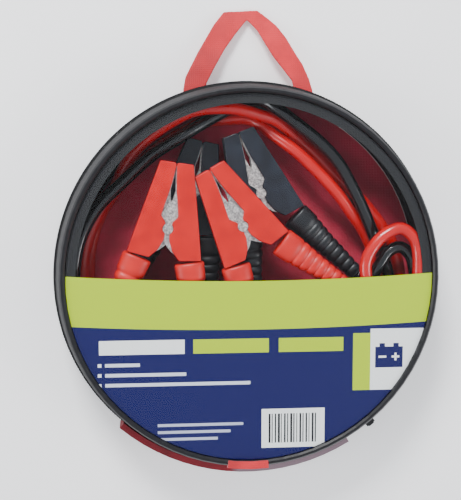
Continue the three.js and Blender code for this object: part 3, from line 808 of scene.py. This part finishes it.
class JUMPER_OT_stitches(bpy.types.Operator):
    """Sews the border inside the front edge with small dark stitches."""

    bl_idname = "jumper.stitches"
    bl_label = "Border stitches"

    def execute(self, context):
        count = context.scene.jumper_case.stitches
        sweep = math.radians(STITCH_SWEEP)
        tree = ring_nodes("stitches", STITCH_RADIUS, 0.0, sweep, STITCH_HEIGHT, STITCH_SIZE)
        obj = ring_object("border_stitches", tree, count, STATE["mats"]["thread"])
        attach(obj, "lid")
        return {"FINISHED"}


class JUMPER_OT_stage(bpy.types.Operator):
    """Pale floor, soft studio light and the photo's camera."""

    bl_idname = "jumper.stage"
    bl_label = "Stage"

    def execute(self, context):
        mat = material("stage_floor", "F3F3F5", "FAFAFB", 3, rough=(0.7, 0.85), bump=0.0)
        s = FLOOR_HALF
        floor = mesh_object("stage_floor", [(-s, -s, 0), (s, -s, 0), (s, s, 0), (-s, s, 0)], [(0, 1, 2, 3)], mat)
        floor.location.z = -FLOOR_DROP
        bright = mat.node_tree.nodes["Principled BSDF"].inputs
        bright["Emission Color"].default_value = (1, 1, 1, 1)
        bright["Emission Strength"].default_value = 0.3
        for name, place, size, energy in LIGHTS:
            light = bpy.data.lights.new(name, "AREA")
            light.size = size
            light.energy = energy
            lamp = bpy.data.objects.new(name, light)
            context.scene.collection.objects.link(lamp)
            lamp.location = place
            lamp.rotation_euler = (-Vector(place)).to_track_quat("-Z", "Y").to_euler()
        world = bpy.data.worlds.new("studio")
        context.scene.world = world
        world.use_nodes = True
        sky = world.node_tree.nodes["Background"].inputs
        sky["Color"].default_value = (0.9, 0.93, 1.0, 1)
        sky["Strength"].default_value = 0.8
        data = bpy.data.cameras.new("camera")
        camera = bpy.data.objects.new("camera", data)
        context.scene.collection.objects.link(camera)
        data.sensor_fit = "VERTICAL"
        data.sensor_height = 24
        data.lens = data.sensor_height / 2 / math.tan(math.radians(CAMERA_VIEW / 2))
        data.clip_start = 0.01
        back = Vector(CAMERA_LEAN).normalized()
        right = Vector((0, 1, 0)).cross(back).normalized()
        up = back.cross(right)
        camera.matrix_world = Matrix((right, up, back)).transposed().to_4x4()
        camera.location = Vector(CAMERA_TARGET) + back * CAMERA_DISTANCE
        context.scene.camera = camera
        return {"FINISHED"}


FLOOR_HALF, FLOOR_DROP = 1.6, 0.0006
# The camera looks at the target along the lean; its view is the upright angle in degrees
CAMERA_TARGET = (-0.0151, 0.0208, 0.05)
CAMERA_LEAN = (-0.061, 0.059, 0.64)
CAMERA_DISTANCE = 0.64
CAMERA_VIEW = 30.17
# Name, place, side in metres and power in watts
LIGHTS = (
    ("key", (-0.35, 1.1, 1.0), 0.4, 30),
    ("fill", (-1.25, -0.2, 0.85), 0.7, 9),
    ("front", (1.2, -0.35, 0.9), 0.6, 10),
)


class JUMPER_PT_panel(bpy.types.Panel):
    """Lists the steps in the sidebar."""

    bl_label = "Jumper set"
    bl_idname = "JUMPER_PT_panel"
    bl_space_type = "VIEW_3D"
    bl_region_type = "UI"
    bl_category = "Jumper set"

    def draw(self, context):
        for step in STEPS:
            self.layout.operator(step.bl_idname)


STEPS = (
    JUMPER_OT_cables,
    JUMPER_OT_surfaces,
    JUMPER_OT_covers,
    JUMPER_OT_grips,
    JUMPER_OT_handle,
    JUMPER_OT_zip,
    JUMPER_OT_stitches,
    JUMPER_OT_stage,
)
CLASSES = (CableSettings, CaseSettings, *STEPS, JUMPER_PT_panel)


def register():
    for cls in CLASSES:
        bpy.utils.register_class(cls)
    bpy.types.Scene.jumper_cables = bpy.props.PointerProperty(type=CableSettings)
    bpy.types.Scene.jumper_case = bpy.props.PointerProperty(type=CaseSettings)


def unregister():
    del bpy.types.Scene.jumper_case
    del bpy.types.Scene.jumper_cables
    for cls in reversed(CLASSES):
        bpy.utils.unregister_class(cls)


def main():
    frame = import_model()
    STATE["frame"] = frame
    register()
    STATE["mats"] = make_materials()
    bpy.ops.jumper.cables()
    bpy.ops.jumper.surfaces()
    bpy.ops.jumper.covers()
    bpy.ops.jumper.grips()
    bpy.ops.jumper.handle()
    bpy.ops.jumper.zip()
    bpy.ops.jumper.stitches()
    bpy.ops.jumper.stage()


if __name__ == "__main__":
    main()
